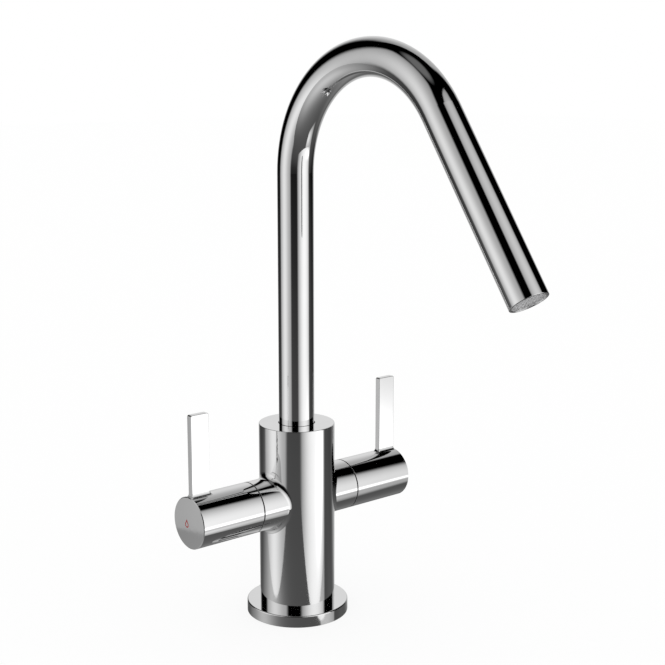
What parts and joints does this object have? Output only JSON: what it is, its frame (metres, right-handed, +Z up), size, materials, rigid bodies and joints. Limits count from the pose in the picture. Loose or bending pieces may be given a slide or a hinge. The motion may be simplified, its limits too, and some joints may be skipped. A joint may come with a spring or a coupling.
{
  "type": "kitchen mixer tap",
  "caption": "Kitchen sink mixer with a tall bent swivel spout, an upright round body and a lever on each side, on a round base flange.",
  "frame": {"origin": "centre of the underside, on the deck that the tap stands on", "axes": "+Z up along the body and the spout's swivel axis, -Y to the front where the spout points, -X to the hot side"},
  "size_m": [0.1506, 0.2117, 0.3295],
  "materials": {
    "chrome": "polished chrome plate on brass",
    "brass": "turned",
    "steel": "turned stainless steel",
    "rubber": "moulded",
    "ceramic": "lapped white ceramic",
    "bearing_plastic": "moulded, low friction",
    "black_plastic": "moulded",
    "grey_plastic": "moulded",
    "hot_enamel": "filled enamel",
    "cold_enamel": "filled enamel"
  },
  "bodies": {
    "tap": {"tap_body": "chrome", "inlet_foot": "brass", "base_flange": "chrome", "base_seal": "rubber", "spout_bush_upper": "bearing_plastic", "spout_bush_lower": "bearing_plastic", "spout_keeper_screw": "steel", "hot_valve_housing": "brass", "hot_seat_seal": "rubber", "hot_fixed_disc": "ceramic", "hot_glide_ring": "black_plastic", "cold_valve_housing": "brass", "cold_seat_seal": "rubber", "cold_fixed_disc": "ceramic", "cold_glide_ring": "black_plastic"},
    "spout": {"spout_tube": "chrome", "spout_nipple": "brass", "spout_seal_upper": "rubber", "spout_seal_lower": "rubber", "outlet_bush": "chrome", "flow_straightener": "grey_plastic", "outlet_seal": "rubber"},
    "hot_lever": {"hot_moving_disc": "ceramic", "hot_spindle": "brass", "hot_spindle_seal": "rubber", "hot_spindle_clip": "steel", "hot_spline_insert": "bearing_plastic", "hot_handle": "chrome", "hot_end_cap": "chrome", "hot_colour_mark": "hot_enamel", "hot_grub_screw": "steel"},
    "cold_lever": {"cold_moving_disc": "ceramic", "cold_spindle": "brass", "cold_spindle_seal": "rubber", "cold_spindle_clip": "steel", "cold_spline_insert": "bearing_plastic", "cold_handle": "chrome", "cold_end_cap": "chrome", "cold_colour_mark": "cold_enamel", "cold_grub_screw": "steel"}
  },
  "joints": [
    {"name": "spout_swivel", "type": "hinge", "parent": "tap", "child": "spout", "pos_m": [0, 0, 0.1], "axis": [0, 0, 1], "continuous": true},
    {"name": "hot_lever_turn", "type": "hinge", "parent": "tap", "child": "hot_lever", "pos_m": [-0.054, 0, 0.0694], "axis": [1, 0, 0], "range_deg": [0, 90]},
    {"name": "cold_lever_turn", "type": "hinge", "parent": "tap", "child": "cold_lever", "pos_m": [0.054, 0, 0.0694], "axis": [1, 0, 0], "range_deg": [0, 90]}
  ]
}
